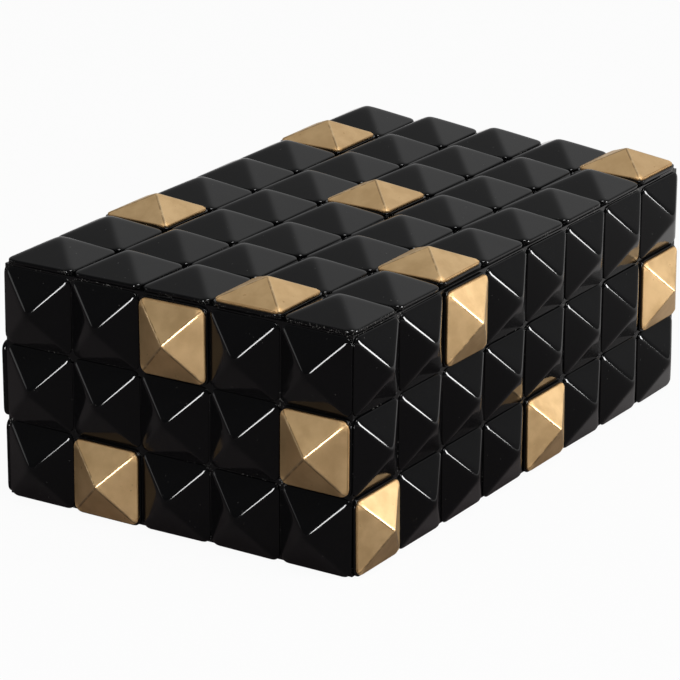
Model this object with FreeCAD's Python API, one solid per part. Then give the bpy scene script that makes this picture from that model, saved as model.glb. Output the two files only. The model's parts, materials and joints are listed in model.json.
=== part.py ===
import FreeCAD, Part
import math
import os

# Magic drawer box: a block of pyramid studs, eight long, five deep and three rows high.
# Its drawers have no pulls and hide behind whole rows of studs.
# Millimetres, +Z up, front towards -Y. The origin lies on the table under the middle of the box.

os.makedirs("parts", exist_ok=True)
Vector = FreeCAD.Vector

# Stud grid. Rows count from the table up, columns from the left, ranks from the front to the back.
stud_pitch = 38.0        # one stud to the next, the same along, across and up
front_count = 8          # studs along the front
end_count = 5            # studs along each end
left_drawer_count = 5    # studs on the wider of the two top drawers
row_count = 3
bottom_row, middle_row, top_row = range(row_count)
groove = 0.6             # open line between two neighbouring studs

# Studs: a low rounded-square skirt that carries a four-sided pyramid
stud_skirt = 0.5         # on the sides and ends
top_skirt = 2.0          # on the top board, where the studs stand deeper
stud_rise = 9.6
stud_corner = 4.4        # radius of the four corners, seen from above
corner_chords = 3        # facets round each corner

# Brass caps: cast pyramids that sit on the ledge of a stepped stud
cap_step = 0.6           # the ledge stands this much over the skirts of the plain studs
brass_wall = 1.2         # thickness of the rim, seen from below
brass_edge = 1.0         # upright edge that shows above the black ledge
brass_rise = 9.0
brass_corner = 4.2
brass_reveal = 0.7       # black ledge left showing round the cap
glue_line = 0.1

# Boards of the case
panel = 8.0              # back, ends and rails
divider = 5.0            # shelves between the rows, and the upright between the top drawers
base_board = 5.0
top_board = 5.0
top_step = 0.6           # top board stands this much over the edge of the top row
housing = 3.0            # depth of the housings that hold the dividers
base_felt = 1.0
felt_margin = 9.0        # base felt stays this far inside the edge of the base board
corner_relief = 0.3      # between the back of a stud and the board edge or stud that it passes

# Drawers: a front, two sides lapped into it, a back between them and a floor held in grooves
tray_side = 5.0
tray_back = 5.0
tray_floor = 3.0
floor_lift = 1.5         # floor over the lower edges of the sides, which the drawer runs on
floor_groove = 2.0       # how far the floor reaches into the boards round it
front_lap = 4.0          # how far the sides reach into the front
joint_gap = 0.1          # in each wood joint
run_gap = 0.3            # under a drawer
lift_gap = 0.7           # over a drawer
side_gap = 0.5           # on each side of a drawer
end_gap = 2.0            # behind a drawer
rim_round = 1.2          # radius along the upper edges of the sides and the back
lining = 1.0
lining_gap = 0.3

# Which studs are brass-capped, as column and row, rank and row, or column and rank
front_brass = {(2, 2), (7, 1), (0, 0), (4, 0)}
left_brass = {(2, 2), (0, 1), (3, 0)}
top_brass = {(0, 1), (2, 4), (2, 0), (4, 2), (6, 4), (7, 0)}
back_brass = {(1, 2), (3, 0), (5, 1), (7, 2)}
right_brass = {(1, 2), (4, 1), (2, 0)}


# Places in the grid

def x_at(column):
    return (column - front_count / 2) * stud_pitch


def y_at(rank):
    return (rank - end_count / 2) * stud_pitch


def z_at(row):
    return row * stud_pitch


edge_inset = groove / 2                    # board edges that hide behind studs
face_inset = edge_inset - corner_relief    # board faces that carry studs

left_face = x_at(0) + face_inset
right_face = x_at(front_count) - face_inset
front_face = y_at(0) + face_inset
back_face = y_at(end_count) - face_inset
top_face = z_at(row_count) + top_step

left_edge = x_at(0) + edge_inset
right_edge = x_at(front_count) - edge_inset
front_edge = y_at(0) + edge_inset
back_edge = y_at(end_count) - edge_inset

left_inside = left_face + panel
right_inside = right_face - panel
front_inside = front_face + panel
back_inside = back_face - panel

floor_top = base_felt + base_board
lower_divider_low = z_at(middle_row) - divider / 2
lower_divider_high = lower_divider_low + divider
upper_divider_low = z_at(top_row) - divider / 2
upper_divider_high = upper_divider_low + divider
top_under = top_face - top_board
partition_left = x_at(left_drawer_count) - divider / 2
partition_right = partition_left + divider


# Basic solids

def block(low, high):
    size = high - low
    return Part.makeBox(size.x, size.y, size.z, low)


def rounded_square(half, radius, height):
    # each corner is an arc cut into equal chords
    points = []
    for corner in range(4):
        turn = FreeCAD.Rotation(Vector(0, 0, 1), 90 * corner)
        for step in range(corner_chords + 1):
            angle = math.pi / 2 * step / corner_chords
            reach = Vector(math.cos(angle), math.sin(angle), 0) * radius
            middle = Vector(half - radius, half - radius, height)
            points.append(turn.multVec(middle + reach))
    return points


def closed_face(points):
    return Part.Face(Part.makePolygon(points + points[:1]))


def rounded_prism(half, radius, low, high):
    return closed_face(rounded_square(half, radius, low)).extrude(Vector(0, 0, high - low))


def pyramid(half, radius, low, rise):
    foot = rounded_square(half, radius, low)
    apex = Vector(0, 0, low + rise)
    facets = [closed_face([start, end, apex]) for start, end in zip(foot, foot[1:] + foot[:1])]
    return Part.Solid(Part.Shell(facets + [closed_face(foot)]))


# Studs, each drawn lying on its back with its point up

def plain_stud(skirt):
    half = (stud_pitch - groove) / 2
    foot = rounded_prism(half, stud_corner, 0, skirt)
    return foot.fuse(pyramid(half, stud_corner, skirt, stud_rise)).removeSplitter()


cap_half = (stud_pitch - groove) / 2 - brass_reveal
core_half = cap_half - brass_wall
core_corner = brass_corner - brass_wall
core_rise = brass_rise * core_half / cap_half


def capped_stud(skirt):
    half = (stud_pitch - groove) / 2
    ledge = skirt + cap_step
    foot = rounded_prism(half, stud_corner, 0, ledge)
    core = pyramid(core_half - glue_line, core_corner, ledge, core_rise - glue_line)
    return foot.fuse(core).removeSplitter()


def brass_cap(skirt):
    ledge = skirt + cap_step
    rim_top = ledge + brass_edge
    rim = rounded_prism(cap_half, brass_corner, ledge, rim_top)
    shell = rim.fuse(pyramid(cap_half, brass_corner, rim_top, brass_rise))
    return shell.cut(pyramid(core_half, core_corner, ledge, core_rise)).removeSplitter()


def place(shape, point, outward):
    turn = FreeCAD.Rotation(Vector(0, 0, 1), outward)
    placed = shape.copy()
    placed.Placement = FreeCAD.Placement(point, turn)
    return placed


def on_front(column, row):
    return Vector(x_at(column + 0.5), front_face, z_at(row + 0.5)), Vector(0, -1, 0)


def on_back(column, row):
    return Vector(x_at(column + 0.5), back_face, z_at(row + 0.5)), Vector(0, 1, 0)


def on_left(rank, row):
    return Vector(left_face, y_at(rank + 0.5), z_at(row + 0.5)), Vector(-1, 0, 0)


def on_right(rank, row):
    return Vector(right_face, y_at(rank + 0.5), z_at(row + 0.5)), Vector(1, 0, 0)


def on_top(column, rank):
    return Vector(x_at(column + 0.5), y_at(rank + 0.5), top_face), Vector(0, 0, 1)


def studded_face(name, seat, cells, brass, skirt=stud_skirt):
    plain = plain_stud(skirt)
    stepped = capped_stud(skirt)
    cap = brass_cap(skirt)
    studs = []
    caps = []
    for cell in cells:
        point, outward = seat(*cell)
        if cell in brass:
            studs.append(place(stepped, point, outward))
            caps.append(place(cap, point, outward))
        else:
            studs.append(place(plain, point, outward))
    pieces[name + "_studs"] = Part.makeCompound(studs)
    if caps:
        pieces[name + "_brass_caps"] = Part.makeCompound(caps)


# Case

def base_pieces():
    low = Vector(left_edge, front_edge, base_felt)
    high = Vector(right_edge, back_edge, floor_top)
    pieces["base_board"] = block(low, high)
    margin = Vector(felt_margin, felt_margin, 0)
    felt_low = Vector(left_edge, front_edge, 0) + margin
    felt_high = Vector(right_edge, back_edge, base_felt) - margin
    pieces["base_felt"] = block(felt_low, felt_high)


def lower_divider():
    return block(Vector(left_edge, front_edge, lower_divider_low),
                 Vector(right_inside + housing, back_inside + housing, lower_divider_high))


def upper_divider():
    return block(Vector(left_edge, front_edge, upper_divider_low),
                 Vector(right_inside + housing, back_inside + housing, upper_divider_high))


def partition():
    return block(Vector(partition_left, front_edge, upper_divider_high - divider / 2),
                 Vector(partition_right, back_inside, top_under + top_board / 2))


def housed(board, *tenants):
    # a tenant's housing is its own outline, widened by the joint gap
    for tenant in tenants:
        bounds = tenant.BoundBox
        low = Vector(bounds.XMin - joint_gap, bounds.YMin - joint_gap, bounds.ZMin - joint_gap)
        high = Vector(bounds.XMax + joint_gap, bounds.YMax + joint_gap, bounds.ZMax + joint_gap)
        board = board.cut(block(low, high))
    return board


def case_pieces():
    lower = lower_divider()
    upper = upper_divider()
    upright = partition()
    pieces["lower_divider"] = lower
    pieces["upper_divider"] = housed(upper, upright)
    pieces["top_drawer_partition"] = upright
    top = block(Vector(left_edge, front_edge, top_under), Vector(right_edge, back_edge, top_face))
    pieces["top_board"] = housed(top, upright)
    right_end = block(Vector(right_inside, front_edge, floor_top), Vector(right_face, back_edge, top_under))
    pieces["right_end_board"] = housed(right_end, lower, upper)
    back = block(Vector(left_edge, back_inside, floor_top), Vector(right_inside, back_face, top_under))
    pieces["back_board"] = housed(back, lower, upper)
    pieces["left_end_bottom_rail"] = block(Vector(left_face, front_edge, floor_top),
                                           Vector(left_inside, back_inside, lower_divider_low))
    pieces["left_end_top_rail"] = block(Vector(left_face, front_edge, upper_divider_high),
                                        Vector(left_inside, back_inside, top_under))
    pieces["front_middle_rail"] = block(Vector(left_edge, front_face, lower_divider_high),
                                        Vector(right_inside, front_inside, upper_divider_low))


# Drawers, each drawn with its front face on y = 0, its lower edges on z = 0 and its middle on x = 0

def rounded_board(low, high, along):
    board = block(low, high)
    rims = [edge for edge in board.Edges
            if edge.BoundBox.ZMin == board.BoundBox.ZMax and edge.Curve.Direction.cross(along).Length == 0]
    return board.makeFillet(rim_round, rims)


def drawer_boards(width, length, height):
    half = width / 2
    inner = half - tray_side
    grooved = inner + floor_groove
    lap = panel - front_lap
    back_start = length - tray_back
    floor_high = floor_lift + tray_floor

    front = block(Vector(-half, 0, 0), Vector(half, panel, height))
    left_side = rounded_board(Vector(-half, lap, 0), Vector(-inner, length, height), Vector(0, 1, 0))
    right_side = rounded_board(Vector(inner, lap, 0), Vector(half, length, height), Vector(0, 1, 0))
    back = rounded_board(Vector(-inner, back_start, 0), Vector(inner, length, height), Vector(1, 0, 0))
    floor = block(Vector(-grooved, panel - floor_groove, floor_lift),
                  Vector(grooved, back_start + floor_groove, floor_high))
    pad = block(Vector(-inner + lining_gap, panel + lining_gap, floor_high),
                Vector(inner - lining_gap, back_start - lining_gap, floor_high + lining))
    return {
        "front": housed(front, left_side, right_side, floor),
        "left_side": housed(left_side, floor),
        "right_side": housed(right_side, floor),
        "back": housed(back, floor),
        "floor": floor,
        "lining": pad,
    }


def add_drawer(name, bay_low, bay_high, corner, turn, depth):
    # corner is the middle of the bay's mouth, on the plane of the stud backs
    height = bay_high.z - bay_low.z - run_gap - lift_gap
    across = bay_high - bay_low
    width = abs(turn.inverted().multVec(across).x) - side_gap - side_gap
    length = depth - end_gap
    for part_name, board in drawer_boards(width, length, height).items():
        board.Placement = FreeCAD.Placement(corner + Vector(0, 0, run_gap), turn)
        pieces[name + "_" + part_name] = board
    print(name, "width", round(width, 2), "length", round(length, 2), "height", round(height, 2))


def front_drawer(name, bay_left, bay_right, bay_floor, bay_ceiling, cells):
    low = Vector(bay_left, front_face, bay_floor)
    high = Vector(bay_right, back_inside, bay_ceiling)
    mouth = Vector((bay_left + bay_right) / 2, front_face, bay_floor)
    add_drawer(name, low, high, mouth, FreeCAD.Rotation(), back_inside - front_face)
    studded_face(name, on_front, cells, front_brass)


def end_drawer():
    low = Vector(left_face, front_inside, lower_divider_high)
    high = Vector(right_inside, back_inside, upper_divider_low)
    mouth = Vector(left_face, (front_inside + back_inside) / 2, lower_divider_high)
    quarter_turn = FreeCAD.Rotation(Vector(0, 0, 1), -90)
    add_drawer("end_drawer", low, high, mouth, quarter_turn, right_inside - left_face)
    cells = [(rank, middle_row) for rank in range(end_count)]
    studded_face("end_drawer", on_left, cells, left_brass)


def drawers():
    lower_cells = [(column, bottom_row) for column in range(front_count)]
    front_drawer("bottom_drawer", left_inside, right_inside, floor_top, lower_divider_low, lower_cells)
    left_cells = [(column, top_row) for column in range(left_drawer_count)]
    front_drawer("top_left_drawer", left_inside, partition_left, upper_divider_high, top_under, left_cells)
    right_cells = [(column, top_row) for column in range(left_drawer_count, front_count)]
    front_drawer("top_right_drawer", partition_right, right_inside, upper_divider_high, top_under,
                 right_cells)
    end_drawer()


def case_studs():
    columns = range(front_count)
    ranks = range(end_count)
    rows = range(row_count)
    top_cells = [(column, rank) for column in columns for rank in ranks]
    studded_face("top", on_top, top_cells, top_brass, top_skirt)
    studded_face("back", on_back, [(column, row) for column in columns for row in rows], back_brass)
    studded_face("right_end", on_right, [(rank, row) for rank in ranks for row in rows], right_brass)
    studded_face("left_end_bottom", on_left, [(rank, bottom_row) for rank in ranks], left_brass)
    studded_face("left_end_top", on_left, [(rank, top_row) for rank in ranks], left_brass)
    studded_face("front_middle", on_front, [(column, middle_row) for column in columns], front_brass)


pieces = {}
base_pieces()
case_pieces()
case_studs()
drawers()
for piece_name, piece in pieces.items():
    piece.exportStep("parts/" + piece_name + ".step")
print(len(pieces), "pieces")
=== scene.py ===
import json
import math

import bpy
from mathutils import Matrix, Vector

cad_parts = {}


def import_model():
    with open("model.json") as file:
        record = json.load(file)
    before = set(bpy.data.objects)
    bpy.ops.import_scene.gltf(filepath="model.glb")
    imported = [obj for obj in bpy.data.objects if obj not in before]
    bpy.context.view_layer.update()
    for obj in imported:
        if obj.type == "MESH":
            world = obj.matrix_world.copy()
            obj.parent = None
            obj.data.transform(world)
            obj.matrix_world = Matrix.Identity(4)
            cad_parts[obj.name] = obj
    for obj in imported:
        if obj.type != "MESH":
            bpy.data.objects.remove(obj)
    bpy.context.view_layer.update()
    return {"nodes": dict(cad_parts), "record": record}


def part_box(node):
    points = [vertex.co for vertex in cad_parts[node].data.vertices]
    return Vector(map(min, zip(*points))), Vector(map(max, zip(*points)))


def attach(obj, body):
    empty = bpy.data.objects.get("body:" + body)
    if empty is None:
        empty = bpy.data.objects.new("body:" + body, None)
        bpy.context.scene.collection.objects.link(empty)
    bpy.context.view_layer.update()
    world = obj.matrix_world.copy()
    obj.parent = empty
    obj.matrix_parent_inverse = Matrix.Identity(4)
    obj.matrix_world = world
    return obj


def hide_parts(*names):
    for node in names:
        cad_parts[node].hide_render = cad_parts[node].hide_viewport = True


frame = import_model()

# A black drawer box covered in pyramid studs, some of them capped in brass.
# Metres, +Z up. The long front faces -Y and the end with the long drawer faces -X.

MM = 0.001

# The stud grid, with its pitch read from the frame
COLUMNS, RANKS, ROWS = 8, 5, 3
BOTTOM_ROW, MIDDLE_ROW, TOP_ROW = range(ROWS)
LEFT_DRAWER_STUDS = 5
GROOVE = 0.6 * MM
TOP_LOW, TOP_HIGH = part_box("top_studs")
PITCH = (TOP_HIGH.x - TOP_LOW.x + GROOVE) / COLUMNS

# Planes that carry the studs
LEFT_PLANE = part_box("left_end_top_rail")[0].x
RIGHT_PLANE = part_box("right_end_board")[1].x
FRONT_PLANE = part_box("front_middle_rail")[0].y
BACK_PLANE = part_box("back_board")[1].y
TOP_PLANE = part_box("top_board")[1].z

# Black studs
SIDE_SKIRT = 0.35 * MM
TOP_SKIRT = 1.95 * MM           # the studs on the top board stand deeper
BACK_SKIRT = 1.0 * MM
BACK_ROOT = 2.0 * MM            # how far the studs on the back reach into their board
STUD_HALF = (PITCH - GROOVE) / 2
STUD_CORNER = 4.2 * MM
STUD_RISE = 9.7 * MM            # to the point where the four facets would meet
STUD_RIDGE = 2.3 * MM           # width of the rounding along each ridge
STUD_TIP = 1.4 * MM
SIDE_RIM = 0.5 * MM             # radius round the rim
TOP_RIM = 1.1 * MM
CORNER_START = 0.94             # share of the way out at which the corners start to bend down

# Brass caps and the stepped studs under them
CAP_STEP = 0.6 * MM             # height of the ledge over the skirts of the plain studs
CAP_EDGE = 1.0 * MM
CAP_RISE = 9.0 * MM
CAP_HALF = 18.0 * MM
CAP_WALL = 1.2 * MM
CAP_CORNER = 4.2 * MM
CAP_RIDGE = 1.0 * MM
CAP_TIP = 0.3 * MM
CAP_RIM = 0.35 * MM
LEDGE_RIM = 0.3 * MM
GLUE_LINE = 0.1 * MM

# Where the points of a stud's mesh lie
QUARTER_TURN = 90
DEGREES_FROM_RIDGE = (0, 1.2, 2.6, 4.6, 7.5, 12, 20, 31)
FACET_SHARES = (0.03, 0.07, 0.13, 0.22, 0.36, 0.55, 0.75, 0.9, 0.95, 0.98, 1.0)
RIM_TURNS = (0.25, 0.5, 0.75, 1.0)
LEDGE_DEGREES = (30, 60, 90)
INNER_SHARES = (0.5, 0.1)

# Which studs are capped, as column and row, rank and row, or column and rank
FRONT_BRASS = {(2, 2), (7, 1), (0, 0), (4, 0)}
LEFT_BRASS = {(2, 2), (0, 1), (3, 0)}
TOP_BRASS = {(0, 1), (2, 4), (2, 0), (4, 2), (6, 4), (7, 0)}
BACK_BRASS = {(1, 2), (3, 0), (5, 1), (7, 2)}
RIGHT_BRASS = {(1, 2), (4, 1), (2, 0)}

# How far single studs on the back stand out from the others, as column and row
SET_OUT = {(0, 0): 0.9 * MM, (0, 1): 1.9 * MM, (0, 2): -0.5 * MM}

# How unevenly the studs are set by hand
STUD_TURN = math.radians(0.5)
STUD_LEAN = math.radians(0.5)
STUD_SHIFT = 0.12 * MM


# Shader maths

class Wire:
    """One output of a node. Arithmetic on it adds Math nodes to its tree."""

    def __init__(self, nodes, socket):
        self.nodes = nodes
        self.socket = socket

    def maths(self, operation, *values):
        inputs = dict(enumerate(values))
        return self.nodes.add("ShaderNodeMath", {"operation": operation}, inputs)

    def __add__(self, other):
        return self.maths("ADD", self, other)

    __radd__ = __add__

    def __mul__(self, other):
        return self.maths("MULTIPLY", self, other)

    __rmul__ = __mul__

    def __sub__(self, other):
        return self.maths("SUBTRACT", self, other)

    def __rsub__(self, other):
        return self.maths("SUBTRACT", other, self)

    def __abs__(self):
        return self.maths("ABSOLUTE", self)

    def at_least(self, other):
        return self.maths("MAXIMUM", self, other)

    def at_most(self, other):
        return self.maths("MINIMUM", self, other)

    def between(self, low, high):
        """0 up to low, 1 from high on, smooth between them."""
        inputs = {"Value": self, "From Min": low, "From Max": high}
        settings = {"interpolation_type": "SMOOTHSTEP", "clamp": True}
        return self.nodes.add("ShaderNodeMapRange", settings, inputs)

    def fading(self, full, gone):
        """1 up to full, 0 from gone on, smooth between them."""
        return 1 - self.between(full, gone)


class Nodes:
    """A node tree that is filled through one method."""

    def __init__(self, tree):
        self.tree = tree
        tree.nodes.clear()

    def add(self, kind, settings=None, inputs=None, output=0):
        """One node. Its sockets go by name, or by number where several share a name."""
        node = self.tree.nodes.new(kind)
        for name, value in (settings or {}).items():
            if name == "stops":
                self.set_stops(node.color_ramp, value)
            else:
                setattr(node, name, value)
        for name, value in (inputs or {}).items():
            if isinstance(value, Wire):
                self.tree.links.new(value.socket, node.inputs[name])
            else:
                node.inputs[name].default_value = value
        return Wire(self, node.outputs[output]) if node.outputs else node

    @staticmethod
    def set_stops(ramp, stops):
        while len(ramp.elements) < len(stops):
            ramp.elements.new(1.0)
        for element, (place, colour) in zip(ramp.elements, stops):
            element.position = place
            element.color = colour

    def mix(self, share, first, second):
        inputs = {0: share, 6: first, 7: second}
        return self.add("ShaderNodeMix", {"data_type": "RGBA"}, inputs, 2)

    def noise(self, place, size, detail=2.0, roughness=0.5):
        """Noise with features of about that size in metres."""
        inputs = {"Vector": place, "Scale": 1 / size, "Detail": detail, "Roughness": roughness}
        return self.add("ShaderNodeTexNoise", {}, inputs, "Fac")

    def patches(self, place, size, low, high, detail=2.0):
        """The parts of a noise that stand over low, full from high on."""
        return self.noise(place, size, detail).between(low, high)

    def stretched(self, place, along, across, up):
        inputs = {0: place, 1: (1 / along, 1 / across, 1 / up)}
        return self.add("ShaderNodeVectorMath", {"operation": "MULTIPLY"}, inputs)

    def distance(self, place, other):
        inputs = {0: place, 1: other}
        return self.add("ShaderNodeVectorMath", {"operation": "DISTANCE"}, inputs, "Value")

    def along(self, place, way):
        inputs = {0: place, 1: way}
        return self.add("ShaderNodeVectorMath", {"operation": "DOT_PRODUCT"}, inputs, "Value")

    def bump(self, height, depth, normal=None):
        inputs = {"Height": height, "Distance": depth}
        if normal:
            inputs["Normal"] = normal
        return self.add("ShaderNodeBump", {}, inputs)

    def object_place(self):
        return self.add("ShaderNodeTexCoord", {}, {}, "Object")

    def attribute(self, name, output):
        return self.add("ShaderNodeAttribute", {"attribute_name": name}, {}, output)

    def parts_of(self, vector):
        splitter = self.add("ShaderNodeSeparateXYZ", {}, {0: vector}).socket.node
        return [Wire(self, socket) for socket in splitter.outputs]

    def surface(self, **inputs):
        named = {name.replace("_", " "): value for name, value in inputs.items()}
        shader = self.add("ShaderNodeBsdfPrincipled", {}, named)
        self.add("ShaderNodeOutputMaterial", {}, {"Surface": shader})


def new_material(name):
    material = bpy.data.materials.new(name)
    material.use_nodes = True
    return material, Nodes(material.node_tree)


def grey(level):
    return (level, level, level, 1.0)


# Dust, on the resin and the lacquer

DUST_GREY = (0.30, 0.29, 0.27, 1)


# Black resin

RESIN_BLACK = (0.0016, 0.0016, 0.0018, 1)
RESIN_ROUGHNESS = 0.05
SWIRL_ROUGHNESS = 0.06
STUD_ROUGHNESS = 0.02                   # the most by which one stud is duller than another
RESIN_DUST_ROUGHNESS = 0.4
RESIN_DUST_COVER = 0.35
DUSTY_CORNER = (LEFT_PLANE, FRONT_PLANE, TOP_PLANE)
CORNER_DUST_FULL = 20 * MM              # distances from that corner
CORNER_DUST_GONE = 70 * MM
CORNER_DUST = 0.6
SKIRT_DUST_FULL = 0.75 * TOP_SKIRT      # heights over the top board
SKIRT_DUST_GONE = 1.15 * TOP_SKIRT
TOP_BOARD_EDGE = TOP_PLANE - 1 * MM
LONE_SPECK_DUST = 0.25


def black_resin():
    """Poured gloss resin: near black, faintly uneven, with dust by the skirts of the top studs."""
    material, nodes = new_material("black_resin")
    place = nodes.object_place()
    tone = nodes.attribute("stud_tone", "Fac")
    up = nodes.parts_of(nodes.attribute("stud_place", "Vector"))[2]
    height = nodes.parts_of(place)[2]

    low_down = up.fading(SKIRT_DUST_FULL, SKIRT_DUST_GONE)
    on_top_board = height.between(TOP_BOARD_EDGE, TOP_PLANE)
    near_corner = nodes.distance(place, DUSTY_CORNER).fading(CORNER_DUST_FULL, CORNER_DUST_GONE)
    drift = nodes.patches(place, size=24 * MM, low=0.52, high=0.66)
    speck = nodes.patches(place, size=0.7 * MM, low=0.60, high=0.68, detail=1.0)
    lone_speck = nodes.patches(place, size=1.1 * MM, low=0.86, high=0.875, detail=0.0)
    gathered = speck * drift.at_least(near_corner * CORNER_DUST) * low_down * on_top_board
    dust = gathered.at_least(lone_speck * LONE_SPECK_DUST)

    swirl = nodes.noise(place, size=9 * MM, detail=3.0)
    waves = nodes.noise(place, size=13 * MM, detail=1.0)
    skin = nodes.noise(place, size=1.6 * MM)
    nodes.surface(
        Base_Color=nodes.mix(dust * RESIN_DUST_COVER, RESIN_BLACK, DUST_GREY),
        Roughness=(RESIN_ROUGHNESS + swirl * SWIRL_ROUGHNESS + tone * STUD_ROUGHNESS
                   + dust * RESIN_DUST_ROUGHNESS),
        IOR=1.35,
        Normal=nodes.bump(waves, depth=0.04 * MM, normal=nodes.bump(skin, depth=0.001 * MM)),
    )
    return material


# Brass

BRASS_DARK = (0.64, 0.43, 0.21, 1)
BRASS_PALE = (0.76, 0.53, 0.275, 1)
BRASS_AGED = (0.61, 0.395, 0.19, 1)
BRASS_BROWN = (0.20, 0.11, 0.045, 1)
# Painted highlight: a pale colour laid along each ridge
BRASS_RIDGE_HIGHLIGHT = (0.86, 0.68, 0.42, 1)
MOST_AGED = 0.35                        # shares of those colours
LINE_BROWN = 0.7
STAIN_BROWN = 0.4
EDGE_PAINTED_SHADE = 0.6
RIDGE_PAINTED_HIGHLIGHT = 0.3
LINE_OFFSET = 0.5 * MM                  # the brown line beside each ridge
LINE_FULL = 0.4 * MM
LINE_GONE = 0.9 * MM
WORN_AND_HIGHLIGHT_FULL = 0.3 * MM                    # the polish on each ridge, and the highlight painted along it
WORN_AND_HIGHLIGHT_GONE = 0.8 * MM
EDGE_START = CAP_HALF - 0.8 * MM        # the painted shade, in brown, round the rim
EDGE_FULL = CAP_HALF - 0.2 * MM
DULL_START = CAP_HALF - 5 * MM          # the dull corners
DULL_FULL = CAP_HALF - 2 * MM
BRASS_ROUGHNESS = 0.34
GRAIN_ROUGHNESS = 0.10
CLOUD_ROUGHNESS = 0.08
STAIN_ROUGHNESS = 0.15
EDGE_ROUGHNESS = 0.2
CORNER_ROUGHNESS = 0.25
WORN_SMOOTHNESS = 0.10


def brass():
    """Satin cast brass: fine grain, small stains, brown lines by its ridges, a highlight painted
    along each ridge and shade painted in brown round the rim.
    """
    material, nodes = new_material("brass")
    place = nodes.object_place()
    tone = nodes.attribute("stud_tone", "Fac")
    x, y, _ = nodes.parts_of(nodes.attribute("stud_place", "Vector"))

    from_ridge = abs(x) - abs(y)
    broken = nodes.patches(place, size=4 * MM, low=0.30, high=0.55, detail=3.0)
    ridge_line = abs(from_ridge - LINE_OFFSET).fading(LINE_FULL, LINE_GONE) * broken
    edge = abs(x).at_least(abs(y)).between(EDGE_START, EDGE_FULL)
    corner = abs(x).at_most(abs(y)).between(DULL_START, DULL_FULL)
    # Each ridge is polished smoother, and also painted paler as a highlight
    worn_ridge_and_highlight = abs(from_ridge).fading(WORN_AND_HIGHLIGHT_FULL, WORN_AND_HIGHLIGHT_GONE) * (1 - edge)

    cloud = nodes.noise(place, size=12 * MM, detail=4.0, roughness=0.6)
    stain = nodes.patches(place, size=3.2 * MM, low=0.70, high=0.78)
    pale = nodes.mix(cloud.between(low=0.3, high=0.7), BRASS_DARK, BRASS_PALE)
    toned = nodes.mix(tone * MOST_AGED, pale, BRASS_AGED)
    # The brown round the rim is painted shade; the lines by the ridges and the stains are tarnish
    brown = (ridge_line * LINE_BROWN).at_least(stain * STAIN_BROWN).at_least(edge * EDGE_PAINTED_SHADE)
    browned = nodes.mix(brown, toned, BRASS_BROWN)

    drawn = nodes.stretched(place, along=6 * MM, across=0.35 * MM, up=0.35 * MM)
    grain = nodes.noise(drawn, size=1.0, detail=3.0)
    pits = nodes.noise(place, size=0.7 * MM, detail=3.0)
    waves = nodes.noise(place, size=7 * MM, detail=1.0)
    nodes.surface(
        Base_Color=nodes.mix(worn_ridge_and_highlight * RIDGE_PAINTED_HIGHLIGHT, browned, BRASS_RIDGE_HIGHLIGHT),
        Metallic=1.0,
        Roughness=(BRASS_ROUGHNESS + grain * GRAIN_ROUGHNESS + cloud * CLOUD_ROUGHNESS
                   + stain * STAIN_ROUGHNESS + edge * EDGE_ROUGHNESS
                   + corner * CORNER_ROUGHNESS - worn_ridge_and_highlight * WORN_SMOOTHNESS),
        Normal=nodes.bump(pits, depth=0.012 * MM, normal=nodes.bump(waves, depth=0.10 * MM)),
    )
    return material


# Black lacquer

LACQUER_BLACK = (0.002, 0.002, 0.0022, 1)
LACQUER_ROUGHNESS = 0.14
LACQUER_DUST_ROUGHNESS = 0.5
LACQUER_DUST_COVER = 0.4


def black_lacquer():
    """Gloss lacquer over the boards that show between the studs."""
    material, nodes = new_material("black_lacquer")
    place = nodes.object_place()
    drift = nodes.patches(place, size=15 * MM, low=0.5, high=0.7)
    speck = nodes.patches(place, size=0.8 * MM, low=0.62, high=0.7, detail=1.0)
    dust = speck * drift
    brush_marks = nodes.noise(place, size=1.5 * MM)
    nodes.surface(
        Base_Color=nodes.mix(dust * LACQUER_DUST_COVER, LACQUER_BLACK, DUST_GREY),
        Roughness=LACQUER_ROUGHNESS + dust * LACQUER_DUST_ROUGHNESS,
        IOR=1.38,
        Normal=nodes.bump(brush_marks, depth=0.01 * MM),
    )
    return material


# Stained wood

WOOD_DARK = (0.045, 0.022, 0.011, 1)
WOOD_PALE = (0.12, 0.062, 0.03, 1)
WOOD_PORE = (0.015, 0.008, 0.004, 1)
PORE_DARKNESS = 0.6
WOOD_ROUGHNESS = 0.42
FIGURE_ROUGHNESS = 0.15
GRAIN_ALONG = 30 * MM
GRAIN_ACROSS = 2.2 * MM


def stained_wood(name, along, across):
    """Dark stained wood, its grain drawn out along one way of the board."""
    material, nodes = new_material(name)
    drawn = nodes.stretched(nodes.object_place(), along, across, GRAIN_ACROSS)
    figure = nodes.noise(drawn, size=1.0, detail=5.0, roughness=0.6)
    pores = nodes.patches(drawn, size=0.22, low=0.55, high=0.75)
    bands = nodes.mix(figure.between(low=0.3, high=0.7), WOOD_DARK, WOOD_PALE)
    nodes.surface(
        Base_Color=nodes.mix(pores * PORE_DARKNESS, bands, WOOD_PORE),
        Roughness=WOOD_ROUGHNESS + figure * FIGURE_ROUGHNESS,
        IOR=1.45,
        Normal=nodes.bump(pores, depth=0.05 * MM, normal=nodes.bump(figure, depth=0.05 * MM)),
    )
    return material


# Felt

FELT_DARK = (0.008, 0.008, 0.009, 1)
FELT_WORN = (0.018, 0.018, 0.02, 1)
FELT_FUZZ = (0.032, 0.032, 0.035, 1)


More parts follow.
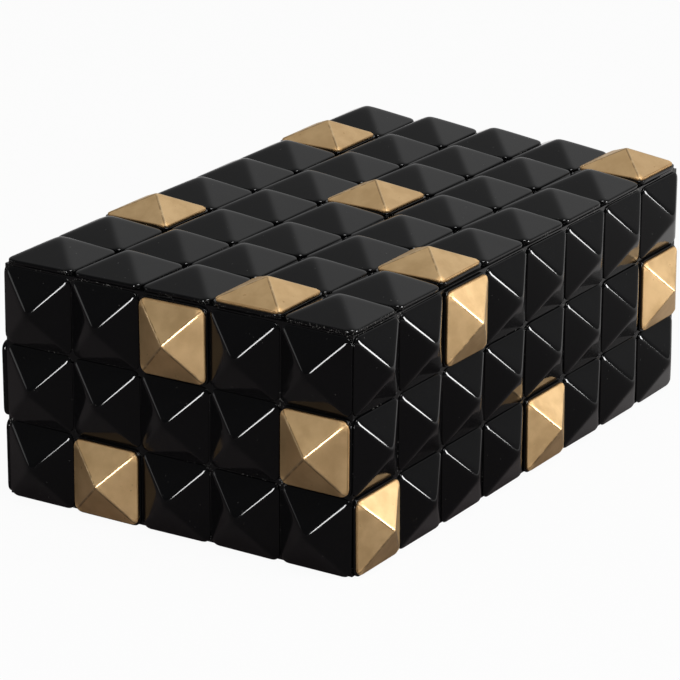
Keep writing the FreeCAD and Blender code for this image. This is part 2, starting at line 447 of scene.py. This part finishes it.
def felt():
    """Short-napped black felt."""
    material, nodes = new_material("felt")
    place = nodes.object_place()
    fuzz = nodes.noise(place, size=0.5 * MM, detail=4.0, roughness=0.7)
    wear = nodes.patches(place, size=9 * MM, low=0.35, high=0.65, detail=3.0)
    shade = nodes.mix(wear, FELT_DARK, FELT_WORN)
    nodes.surface(
        Base_Color=nodes.mix(fuzz.between(low=0.4, high=0.7), shade, FELT_FUZZ),
        Roughness=0.95,
        Sheen_Weight=0.25,
        Sheen_Roughness=0.5,
        Normal=nodes.bump(fuzz, depth=0.3 * MM),
    )
    return material


def placed(name, data):
    thing = bpy.data.objects.new(name, data)
    bpy.context.scene.collection.objects.link(thing)
    return thing


# Stud shapes, each with its foot at the origin and its tip up

def ring_angles():
    """Angles round a stud, closest together at the four ridges."""
    beside = sorted({-angle for angle in DEGREES_FROM_RIDGE} | set(DEGREES_FROM_RIDGE))
    middle_of_facet = -QUARTER_TURN / 2
    first_ridge = QUARTER_TURN / 2
    return [math.radians(QUARTER_TURN * side + first_ridge + angle)
            for side in range(4) for angle in [middle_of_facet] + beside]


def outline_reach(angle, half, corner):
    """Distance from the middle of a rounded square to its outline."""
    across = max(abs(math.cos(angle)), abs(math.sin(angle)))
    along = min(abs(math.cos(angle)), abs(math.sin(angle)))
    flat_reach = half / across
    centre = half - corner
    if flat_reach * along <= centre:
        return flat_reach
    forward = centre * (across + along)
    return forward + math.sqrt(max(forward * forward - 2 * centre * centre + corner * corner, 0.0))


def pyramid_share(x, y, half, ridge, tip):
    """How far down its facets a point of a pyramid lies. The ridges and the tip are rounded."""
    a = math.hypot(x, tip)
    b = math.hypot(y, tip)
    rounding = max(ridge - abs(a - b), 0.0) ** 2 / (4 * ridge)
    return (max(a, b) + rounding) / half


def bend(share):
    """0 up to the start of the bend, 1 at the rim."""
    step = min(max((share - CORNER_START) / (1 - CORNER_START), 0.0), 1.0)
    return step * step * (3 - 2 * step)


def pyramid_rings(half, corner, foot, rise, ridge, tip, rim):
    """Rings from the tip down the facets and round the rim to the upright wall."""
    slope = math.atan2(rise, half)
    rim_width = rim * (1 - math.sin(slope))
    rings = []
    for share in FACET_SHARES:
        ring = []
        for angle in ring_angles():
            full_reach = outline_reach(angle, half, corner)
            reach = (full_reach - rim_width) * share
            x, y = reach * math.cos(angle), reach * math.sin(angle)
            outward = reach / full_reach
            down = pyramid_share(x, y, half, ridge, tip)
            down += (outward - down) * bend(outward)
            ring.append(Vector((x, y, foot + rise * (1 - down))))
        rings.append(ring)
    edge = rings[-1]
    for turn in RIM_TURNS:
        lean = slope + (math.pi / 2 - slope) * turn
        out = rim * (math.sin(lean) - math.sin(slope))
        down = rim * (math.cos(slope) - math.cos(lean))
        rings.append([point + Vector((math.cos(angle) * out, math.sin(angle) * out, -down))
                      for point, angle in zip(edge, ring_angles())])
    return rings


def level_ring(half, corner, height):
    ring = []
    for angle in ring_angles():
        reach = outline_reach(angle, half, corner)
        ring.append(Vector((reach * math.cos(angle), reach * math.sin(angle), height)))
    return ring


def closed_piece(name, rings, top, floor_height):
    """A closed mesh through the rings, from a tip over the first to a floor under the last."""
    count = len(ring_angles())
    points = [Vector((0, 0, top))]
    for ring in rings:
        points.extend(ring)
    points.append(Vector((0, 0, floor_height)))
    last = len(points) - 1
    faces = []
    for i in range(count):
        after = (i + 1) % count
        faces.append((0, 1 + i, 1 + after))
        for level in range(len(rings) - 1):
            upper, lower = 1 + level * count, 1 + (level + 1) * count
            faces.append((upper + i, lower + i, lower + after, upper + after))
        base = 1 + (len(rings) - 1) * count
        faces.append((last, base + after, base + i))
    mesh = bpy.data.meshes.new(name)
    mesh.from_pydata(points, [], faces)
    mesh.shade_smooth()
    place = mesh.attributes.new("stud_place", "FLOAT_VECTOR", "POINT")
    place.data.foreach_set("vector", [value for point in points for value in point])
    return placed(name, mesh)


def tip_height(foot, half, rise, ridge, tip):
    return foot + rise * (1 - pyramid_share(0, 0, half, ridge, tip))


def plain_stud(skirt, rim, root):
    rings = pyramid_rings(STUD_HALF, STUD_CORNER, skirt, STUD_RISE, STUD_RIDGE, STUD_TIP, rim)
    rings.append(level_ring(STUD_HALF, STUD_CORNER, -root))
    top = tip_height(skirt, STUD_HALF, STUD_RISE, STUD_RIDGE, STUD_TIP)
    return closed_piece("plain_stud", rings, top, -root)


def stepped_stud(skirt, root):
    """The black stud under a cap: a skirt, a ledge and a smaller pyramid."""
    ledge = skirt + CAP_STEP
    core_half = CAP_HALF - CAP_WALL - GLUE_LINE
    core_corner = CAP_CORNER - CAP_WALL
    core_rise = CAP_RISE * core_half / CAP_HALF - GLUE_LINE
    rings = pyramid_rings(core_half, core_corner, ledge, core_rise, CAP_RIDGE, CAP_TIP, GLUE_LINE)
    ledge_half = STUD_HALF - LEDGE_RIM
    rings.append(level_ring(core_half, core_corner, ledge))
    rings.append(level_ring(ledge_half, STUD_CORNER - LEDGE_RIM, ledge))
    for turn in LEDGE_DEGREES:
        lean = math.radians(turn)
        out = ledge_half + LEDGE_RIM * math.sin(lean)
        height = ledge - LEDGE_RIM * (1 - math.cos(lean))
        rings.append(level_ring(out, STUD_CORNER, height))
    rings.append(level_ring(STUD_HALF, STUD_CORNER, -root))
    top = tip_height(ledge, core_half, core_rise, CAP_RIDGE, CAP_TIP)
    return closed_piece("stepped_stud", rings, top, -root)


def brass_cap(skirt):
    """A hollow cap, its wall seated on the ledge of a stepped stud."""
    ledge = skirt + CAP_STEP
    rim_height = ledge + CAP_EDGE
    rings = pyramid_rings(CAP_HALF, CAP_CORNER, rim_height, CAP_RISE, CAP_RIDGE, CAP_TIP, CAP_RIM)
    hollow_half = CAP_HALF - CAP_WALL
    hollow_corner = CAP_CORNER - CAP_WALL
    hollow_rise = CAP_RISE * hollow_half / CAP_HALF
    foot_rim = CAP_RIM / 2
    mouth = level_ring(hollow_half, hollow_corner, ledge)
    rings.append(level_ring(CAP_HALF, CAP_CORNER, ledge + foot_rim))
    rings.append(level_ring(CAP_HALF - foot_rim, CAP_CORNER - foot_rim, ledge))
    rings.append(mouth)
    for share in INNER_SHARES:
        height = ledge + hollow_rise * (1 - share)
        rings.append([Vector((point.x * share, point.y * share, height)) for point in mouth])
    top = tip_height(rim_height, CAP_HALF, CAP_RISE, CAP_RIDGE, CAP_TIP)
    return closed_piece("brass_cap", rings, top, ledge + hollow_rise)


# Setting the studs on their boards

def x_of(column):
    """The middle of a column. The next two give that of a rank and of a row."""
    return (column + 0.5 - COLUMNS / 2) * PITCH


def y_of(rank):
    return (rank + 0.5 - RANKS / 2) * PITCH


def z_of(row):
    return (row + 0.5) * PITCH


def on_front(column, row):
    return Vector((x_of(column), FRONT_PLANE, z_of(row))), Vector((0, -1, 0))


def on_back(column, row):
    seat = BACK_PLANE + SET_OUT.get((column, row), 0.0)
    return Vector((x_of(column), seat, z_of(row))), Vector((0, 1, 0))


def on_left(rank, row):
    return Vector((LEFT_PLANE, y_of(rank), z_of(row))), Vector((-1, 0, 0))


def on_right(rank, row):
    return Vector((RIGHT_PLANE, y_of(rank), z_of(row))), Vector((1, 0, 0))


def on_top(column, rank):
    return Vector((x_of(column), y_of(rank), TOP_PLANE)), Vector((0, 0, 1))


def stud_setting_tree():
    """Sets one stud on each point of a board, turned, leant and shifted a little at random."""
    tree = bpy.data.node_groups.new("set_studs", "GeometryNodeTree")
    sockets = [
        ("Points", "INPUT", "NodeSocketGeometry"),
        ("Stud", "INPUT", "NodeSocketObject"),
        ("Capped", "INPUT", "NodeSocketBool"),
        ("Turn", "INPUT", "NodeSocketFloat"),
        ("Lean", "INPUT", "NodeSocketFloat"),
        ("Shift", "INPUT", "NodeSocketFloat"),
        ("Seed", "INPUT", "NodeSocketInt"),
        ("Finish", "INPUT", "NodeSocketMaterial"),
        ("Studs", "OUTPUT", "NodeSocketGeometry"),
    ]
    for name, way, kind in sockets:
        tree.interface.new_socket(name, in_out=way, socket_type=kind)
    nodes = Nodes(tree)
    given = nodes.add("NodeGroupInput").socket.node
    wires = {socket.name: Wire(nodes, socket) for socket in given.outputs}
    seed = wires["Seed"]

    # Which points get this kind of stud
    capped = nodes.add("GeometryNodeInputNamedAttribute", {"data_type": "BOOLEAN"},
                       {"Name": "capped"})
    wanted = nodes.add("FunctionNodeCompare", {"data_type": "INT", "operation": "EQUAL"},
                       {2: capped, 3: wires["Capped"]})

    # The way each stud faces
    facing = nodes.add("GeometryNodeInputNamedAttribute", {"data_type": "FLOAT_VECTOR"},
                       {"Name": "outward"})
    upright = nodes.add("FunctionNodeAlignRotationToVector", {"axis": "Z"}, {"Vector": facing})
    most = nodes.add("ShaderNodeCombineXYZ", {},
                     {0: wires["Lean"], 1: wires["Lean"], 2: wires["Turn"]})
    least = nodes.add("ShaderNodeVectorMath", {"operation": "SCALE"}, {0: most, "Scale": -1.0})
    wobble = nodes.add("FunctionNodeRandomValue", {"data_type": "FLOAT_VECTOR"},
                       {0: least, 1: most, "Seed": seed})
    wobble_turn = nodes.add("FunctionNodeEulerToRotation", {}, {0: wobble})
    turned = nodes.add("FunctionNodeRotateRotation", {"rotation_space": "LOCAL"},
                       {"Rotation": upright, "Rotate By": wobble_turn})

    # Its place, shifted along the board only
    step = nodes.add("FunctionNodeRandomValue", {"data_type": "FLOAT_VECTOR"},
                     {0: (-1.0, -1.0, -1.0), 1: (1.0, 1.0, 1.0), "Seed": seed})
    across = nodes.add("ShaderNodeVectorMath", {"operation": "CROSS_PRODUCT"},
                       {0: step, 1: facing})
    shift = nodes.add("ShaderNodeVectorMath", {"operation": "SCALE"},
                      {0: across, "Scale": wires["Shift"]})
    moved = nodes.add("GeometryNodeSetPosition", {},
                      {"Geometry": wires["Points"], "Offset": shift})

    # The studs themselves, each with its own tone
    stud = nodes.add("GeometryNodeObjectInfo", {}, {"Object": wires["Stud"]}, "Geometry")
    set_out = nodes.add("GeometryNodeInstanceOnPoints", {},
                        {"Points": moved, "Selection": wanted, "Instance": stud,
                         "Rotation": turned})
    tone = nodes.add("FunctionNodeRandomValue", {"data_type": "FLOAT"},
                     {2: 0.0, 3: 1.0, "Seed": seed}, 1)
    toned = nodes.add("GeometryNodeStoreNamedAttribute",
                      {"data_type": "FLOAT", "domain": "INSTANCE"},
                      {"Geometry": set_out, "Name": "stud_tone", "Value": tone})
    real = nodes.add("GeometryNodeRealizeInstances", {}, {"Geometry": toned})
    finished = nodes.add("GeometryNodeSetMaterial", {},
                         {"Geometry": real, "Material": wires["Finish"]})
    nodes.add("NodeGroupOutput", {}, {"Studs": finished})
    return tree


def board_points(name, seat, cells, brass_cells):
    """One point for each stud of a board, with the way it faces and whether it is capped."""
    places = [seat(*cell) for cell in cells]
    mesh = bpy.data.meshes.new(name)
    mesh.from_pydata([place for place, _ in places], [], [])
    outward = mesh.attributes.new("outward", "FLOAT_VECTOR", "POINT")
    outward.data.foreach_set("vector", [value for _, way in places for value in way])
    capped = mesh.attributes.new("capped", "BOOLEAN", "POINT")
    capped.data.foreach_set("value", [cell in brass_cells for cell in cells])
    return placed(name, mesh)


def set_studs(points, stud, capped, seed, finish):
    """The mesh of one kind of stud on a board."""
    modifier = points.modifiers.new("set_studs", "NODES")
    modifier.node_group = setting
    values = {"Stud": stud, "Capped": capped, "Turn": STUD_TURN, "Lean": STUD_LEAN,
              "Shift": STUD_SHIFT, "Seed": seed, "Finish": finish}
    for item in setting.interface.items_tree:
        if item.in_out == "INPUT" and item.name in values:
            modifier[item.identifier] = values[item.name]
    points.update_tag()
    depsgraph = bpy.context.evaluated_depsgraph_get()
    evaluated = points.evaluated_get(depsgraph)
    mesh = bpy.data.meshes.new_from_object(evaluated, preserve_all_data_layers=True,
                                           depsgraph=depsgraph)
    points.modifiers.remove(modifier)
    return mesh


def stand_in(name, meshes, body, node):
    """One piece from one or more meshes, which rides on a body and stands for a frame node."""
    pieces = [placed(name, mesh) for mesh in meshes]
    piece = pieces[0]
    if len(pieces) > 1:
        with bpy.context.temp_override(active_object=piece, object=piece,
                                       selected_editable_objects=pieces, selected_objects=pieces):
            bpy.ops.object.join()
    piece.name = name
    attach(piece, body)
    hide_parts(node)


def dress_board(seed, name, body, seat, cells, brass_cells, shapes):
    plain_shape, stepped_shape, cap_shape = shapes
    points = board_points(name + "_points", seat, cells, brass_cells)
    black = [set_studs(points, plain_shape, False, seed, resin_finish)]
    if brass_cells.intersection(cells):
        black.append(set_studs(points, stepped_shape, True, seed, resin_finish))
        caps = set_studs(points, cap_shape, True, seed, brass_finish)
        stand_in(name + "_gold_caps", [caps], body, name + "_brass_caps")
    stand_in(name + "_black_studs", black, body, name + "_studs")
    bpy.data.objects.remove(points)


def cells_of(columns, rows):
    return [(column, row) for column in range(columns) for row in range(rows)]


def in_row(cells, row):
    return [cell for cell in cells if cell[1] == row]


def dress_boards():
    """Studs and caps for each board. A board's place in the list is its seed."""
    front = cells_of(COLUMNS, ROWS)
    end = cells_of(RANKS, ROWS)
    top_row = in_row(front, TOP_ROW)
    left_drawer = [cell for cell in top_row if cell[0] < LEFT_DRAWER_STUDS]
    right_drawer = [cell for cell in top_row if cell[0] >= LEFT_DRAWER_STUDS]
    boards = [
        ("top", "case", on_top, cells_of(COLUMNS, RANKS), TOP_BRASS, top_shapes),
        ("back", "case", on_back, front, BACK_BRASS, back_shapes),
        ("right_end", "case", on_right, end, RIGHT_BRASS, side_shapes),
        ("left_end_bottom", "case", on_left, in_row(end, BOTTOM_ROW), LEFT_BRASS, side_shapes),
        ("left_end_top", "case", on_left, in_row(end, TOP_ROW), LEFT_BRASS, side_shapes),
        ("front_middle", "case", on_front, in_row(front, MIDDLE_ROW), FRONT_BRASS, side_shapes),
        ("end_drawer", "end_drawer", on_left, in_row(end, MIDDLE_ROW), LEFT_BRASS, side_shapes),
        ("bottom_drawer", "bottom_drawer", on_front, in_row(front, BOTTOM_ROW), FRONT_BRASS,
         side_shapes),
        ("top_left_drawer", "top_left_drawer", on_front, left_drawer, FRONT_BRASS, side_shapes),
        ("top_right_drawer", "top_right_drawer", on_front, right_drawer, FRONT_BRASS, side_shapes),
    ]
    for seed, board in enumerate(boards, 1):
        dress_board(seed, *board)


# Boards, which keep the frame's own meshes

def finish_boards():
    wood_along_x = stained_wood("stained_wood_x", GRAIN_ALONG, GRAIN_ACROSS)
    wood_along_y = stained_wood("stained_wood_y", GRAIN_ACROSS, GRAIN_ALONG)
    lacquer = black_lacquer()
    lining = felt()
    for row in frame["record"]["subparts"]:
        node, slot = row["node"], row["material_slot"]
        low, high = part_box(node)
        wood = wood_along_x if high.x - low.x > high.y - low.y else wood_along_y
        finishes = {"drawer_wood": wood, "black_lacquered_wood": lacquer, "felt": lining}
        if slot in finishes:
            for mesh_slot in frame["nodes"][node].material_slots:
                mesh_slot.material = finishes[slot]


# Studio

def light_paths(nodes):
    """Whether a ray comes from the camera, and whether from a mirroring or clear surface."""
    path = nodes.add("ShaderNodeLightPath").socket.node
    seen = Wire(nodes, path.outputs["Is Camera Ray"])
    glossy = Wire(nodes, path.outputs["Is Glossy Ray"])
    clear = Wire(nodes, path.outputs["Is Transmission Ray"])
    return seen, glossy.at_least(clear)


FLOOR_DROP = 0.3 * MM
FLOOR_HALF = 6.0
FLOOR_COLOUR = grey(0.45)
FLOOR_WHITE_SEEN = 0.95                 # share of plain white in the floor that the camera sees
FLOOR_PLAIN_MIRRORED = 0.85             # share of plain colour in the floor that is mirrored
FLOOR_PAINTED_SHADE = (0.070, 0.054, 0.055, 1)   # that colour on the side of the camera, a painted shade
FLOOR_FAR = (0.95, 0.93, 0.92, 1)       # and behind the box
FLOOR_WAY = (0.85, -0.30, 0.0)          # along the floor, away from the camera
FLOOR_BLEND = 0.50                      # how far along that way the far colour is reached


def floor():
    """Almost white to the camera, with a soft shadow. The gloss mirrors it with painted shade, dim
    before the box.
    """
    material, nodes = new_material("pale_floor")
    seen, mirrored = light_paths(nodes)
    paper = nodes.add("ShaderNodeBsdfDiffuse", {}, {"Color": FLOOR_COLOUR})
    away = nodes.along(nodes.object_place(), FLOOR_WAY)
    # Painted shade: to the gloss the floor glows dark before the box and pale behind it
    dim = nodes.mix(away.between(0.0, FLOOR_BLEND), FLOOR_PAINTED_SHADE, FLOOR_FAR)
    plain = nodes.add("ShaderNodeEmission", {},
                      {"Color": nodes.mix(mirrored, grey(1.0), dim), "Strength": 1.0})
    share = seen * FLOOR_WHITE_SEEN + mirrored * FLOOR_PLAIN_MIRRORED
    both = nodes.add("ShaderNodeMixShader", {}, {0: share, 1: paper, 2: plain})
    nodes.add("ShaderNodeOutputMaterial", {}, {"Surface": both})
    mesh = bpy.data.meshes.new("floor")
    corners = [(-FLOOR_HALF, -FLOOR_HALF), (FLOOR_HALF, -FLOOR_HALF),
               (FLOOR_HALF, FLOOR_HALF), (-FLOOR_HALF, FLOOR_HALF)]
    mesh.from_pydata([(x, y, -FLOOR_DROP) for x, y in corners], [], [(0, 1, 2, 3)])
    mesh.materials.append(material)
    plane = placed("floor", mesh)


WALL_WAY = (0.74, 0.22, 0.63)           # towards the white wall, behind the box and over it
WALL_STOPS = [(0.30, grey(0.06)), (0.77, grey(0.16)), (0.90, grey(0.46)), (1.0, grey(0.76))]
ROOM_LIGHT = 0.40


def world():
    """White to the camera. The gloss mirrors a pale wall behind the box and a dim room."""
    room = bpy.data.worlds.new("studio")
    room.use_nodes = True
    nodes = Nodes(room.node_tree)
    seen, mirrored = light_paths(nodes)
    facing_wall = nodes.along(nodes.add("ShaderNodeTexCoord", {}, {}, "Generated"), WALL_WAY)
    from_0_to_1 = facing_wall * 0.5 + 0.5
    wall = nodes.add("ShaderNodeValToRGB", {"stops": WALL_STOPS}, {0: from_0_to_1})
    around = nodes.mix(mirrored, grey(ROOM_LIGHT), wall)
    colour = nodes.mix(seen, around, grey(1.0))
    light = nodes.add("ShaderNodeBackground", {}, {"Color": colour, "Strength": 1.0})
    nodes.add("ShaderNodeOutputWorld", {}, {"Surface": light})
    bpy.context.scene.world = room


# Name, place, width, height and watts
SOFTBOXES = [
    ("left_softbox", (-2.4, 0.02, 0.35), 0.35, 0.7, 30),
    ("right_softbox", (0.97, -2.28, 0.40), 0.50, 0.9, 56),
    ("overhead_softbox", (-0.25, -0.85, 2.1), 0.8, 0.8, 32),
    ("back_card", (-1.3, 1.9, 0.25), 0.7, 0.6, 1.8),
]
LAMP_AIM = Vector((0.0, 0.0, 0.06))


def lights():
    for name, place, width, height, power in SOFTBOXES:
        lamp = bpy.data.lights.new(name, "AREA")
        lamp.shape = "RECTANGLE"
        lamp.size = width
        lamp.size_y = height
        lamp.energy = power
        box = placed(name, lamp)
        box.location = place
        box.rotation_euler = (LAMP_AIM - Vector(place)).to_track_quat("-Z", "Y").to_euler()


# Camera, fitted to the corners and tips of the studs in the photograph

CAMERA_PLACE = Vector((-1.4385, -0.9030, 0.6444))
CAMERA_AZIMUTH = -1.0062
CAMERA_ELEVATION = 0.3365
CAMERA_ROLL = 0.0029
SENSOR = 36.0
FOCAL_PIXELS = 3701.7
IMAGE_PIXELS = 680
CLIP_NEAR, CLIP_FAR = 0.05, 50.0


def camera():
    data = bpy.data.cameras.new("camera")
    data.sensor_width = SENSOR
    data.lens = FOCAL_PIXELS / IMAGE_PIXELS * SENSOR
    data.clip_start = CLIP_NEAR
    data.clip_end = CLIP_FAR
    eye = placed("camera", data)
    tilt = Matrix.Rotation(math.pi / 2 - CAMERA_ELEVATION, 4, "X")
    swing = Matrix.Rotation(CAMERA_AZIMUTH, 4, "Z")
    roll = Matrix.Rotation(CAMERA_ROLL, 4, "Z")
    eye.matrix_world = Matrix.Translation(CAMERA_PLACE) @ swing @ tilt @ roll
    bpy.context.scene.camera = eye


resin_finish = black_resin()
brass_finish = brass()
side_shapes, top_shapes, back_shapes = [
    (plain_stud(skirt, rim, root), stepped_stud(skirt, root), brass_cap(skirt))
    for skirt, rim, root in ((SIDE_SKIRT, SIDE_RIM, 0.0), (TOP_SKIRT, TOP_RIM, 0.0),
                             (BACK_SKIRT, SIDE_RIM, BACK_ROOT))]
setting = stud_setting_tree()
dress_boards()
for shape in side_shapes + top_shapes + back_shapes:
    bpy.data.objects.remove(shape)
finish_boards()
floor()
world()
lights()
camera()
bpy.context.scene.view_settings.view_transform = "Standard"
